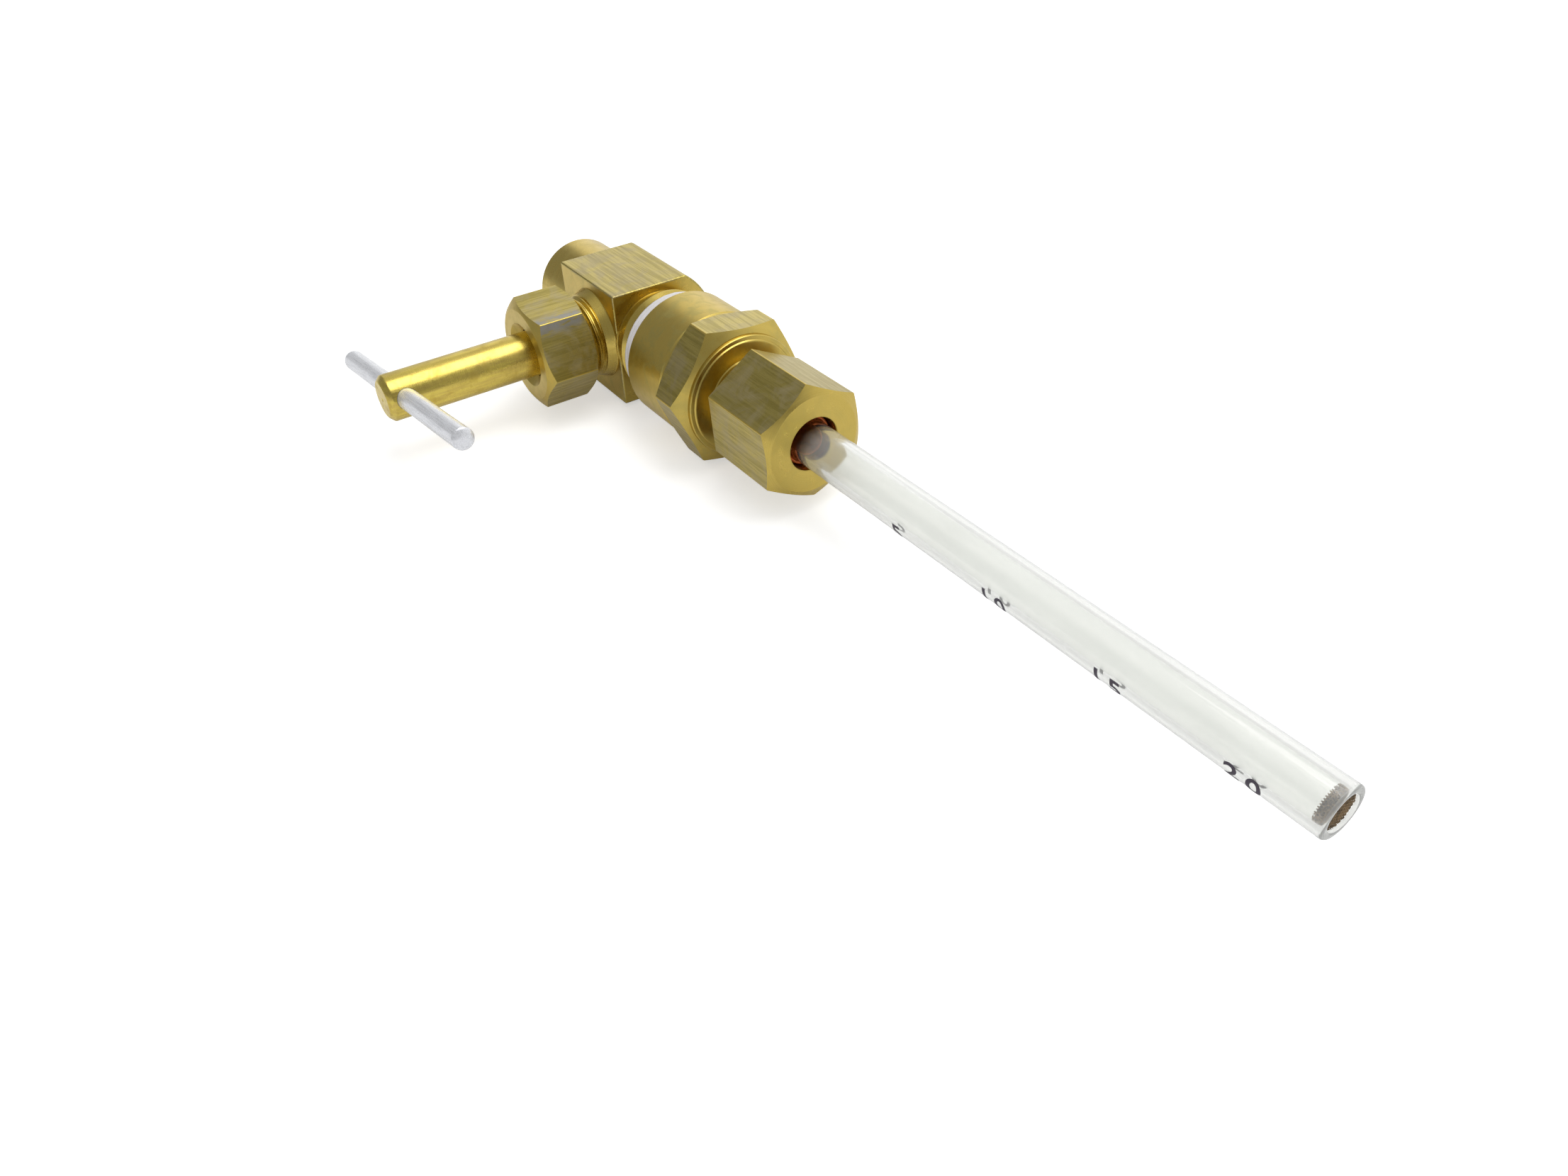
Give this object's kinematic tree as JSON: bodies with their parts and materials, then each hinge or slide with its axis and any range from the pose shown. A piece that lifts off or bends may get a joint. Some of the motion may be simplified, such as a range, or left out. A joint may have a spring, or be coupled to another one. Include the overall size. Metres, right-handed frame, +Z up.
{
  "type": "flame sensor probe",
  "caption": "Gas sampling probe: brass needle valve with a T handle, pipe connector with a compression nut, and a graduated glass tube closed by a gauze thimble.",
  "frame": {"origin": "bottom centre of the probe's box; the lowest point is a corner of the connector's hexagon", "axes": "+X along the main axis from the inlet port to the tip of the tube, -Y out along the valve stem to the T handle, +Z up from the block's bottom flat to its top flat"},
  "size_m": [0.1572, 0.0554, 0.0215],
  "materials": {
    "brass_bar": "drawn bar flats, dull olive gold, with turned ends",
    "brass_turned": "bright turned",
    "steel": "bright drawn pin",
    "ptfe": "soft white",
    "red_rubber": "red-brown elastomer",
    "fibre": "pressed fibre",
    "glass": "pale drawn tube with a fire-polished tip",
    "bronze_gauze": "woven wire"
  },
  "bodies": {
    "valve": {"valve_body": "brass_bar", "packing_washer": "brass_turned", "packing_ring_1": "ptfe", "packing_ring_2": "ptfe", "packing_ring_3": "ptfe", "packing_ring_4": "ptfe", "thread_seal_tape": "ptfe", "connector_body": "brass_bar", "cushion_washer": "fibre", "back_ring": "brass_turned", "sealing_sleeve": "red_rubber"},
    "needle": {"needle_tip": "steel"},
    "stem": {"valve_stem": "brass_turned", "t_handle_pin": "steel"},
    "follower": {"gland_follower": "brass_turned"},
    "packing_nut": {"packing_nut": "brass_bar"},
    "slip_ring": {"slip_ring": "brass_turned"},
    "compression_nut": {"compression_nut": "brass_bar"},
    "tube": {"glass_tube": "glass", "gauze_thimble": "bronze_gauze"}
  },
  "joints": [
    {"name": "needle_travel", "type": "slide", "parent": "valve", "child": "needle", "axis": [0, -1, 0], "range_m": [-0.00106, 0.00212]},
    {"name": "stem_turn", "type": "hinge", "parent": "needle", "child": "stem", "pos_m": [-0.05323, -0.02476, 0.01076], "axis": [0, -1, 0], "range_deg": [-360, 720]},
    {"name": "follower_travel", "type": "slide", "parent": "valve", "child": "follower", "axis": [0, -1, 0], "range_m": [0, 0.003]},
    {"name": "packing_nut_turn", "type": "hinge", "parent": "follower", "child": "packing_nut", "pos_m": [-0.05323, 0.00034, 0.01076], "axis": [0, -1, 0], "range_deg": [0, 1080]},
    {"name": "slip_ring_travel", "type": "slide", "parent": "valve", "child": "slip_ring", "axis": [1, 0, 0], "range_m": [0, 0.003]},
    {"name": "compression_nut_turn", "type": "hinge", "parent": "slip_ring", "child": "compression_nut", "pos_m": [-0.01008, 0.01594, 0.01076], "axis": [1, 0, 0], "range_deg": [0, 1080]},
    {"name": "tube_draw", "type": "slide", "parent": "valve", "child": "tube", "axis": [1, 0, 0], "range_m": [0, 0.02]}
  ],
  "couplings": [
    {"joint": "stem_turn", "follows": "needle_travel", "rad_per_m": 5938.7},
    {"joint": "packing_nut_turn", "follows": "follower_travel", "rad_per_m": 6283.2},
    {"joint": "compression_nut_turn", "follows": "slip_ring_travel", "rad_per_m": 6283.2}
  ]
}
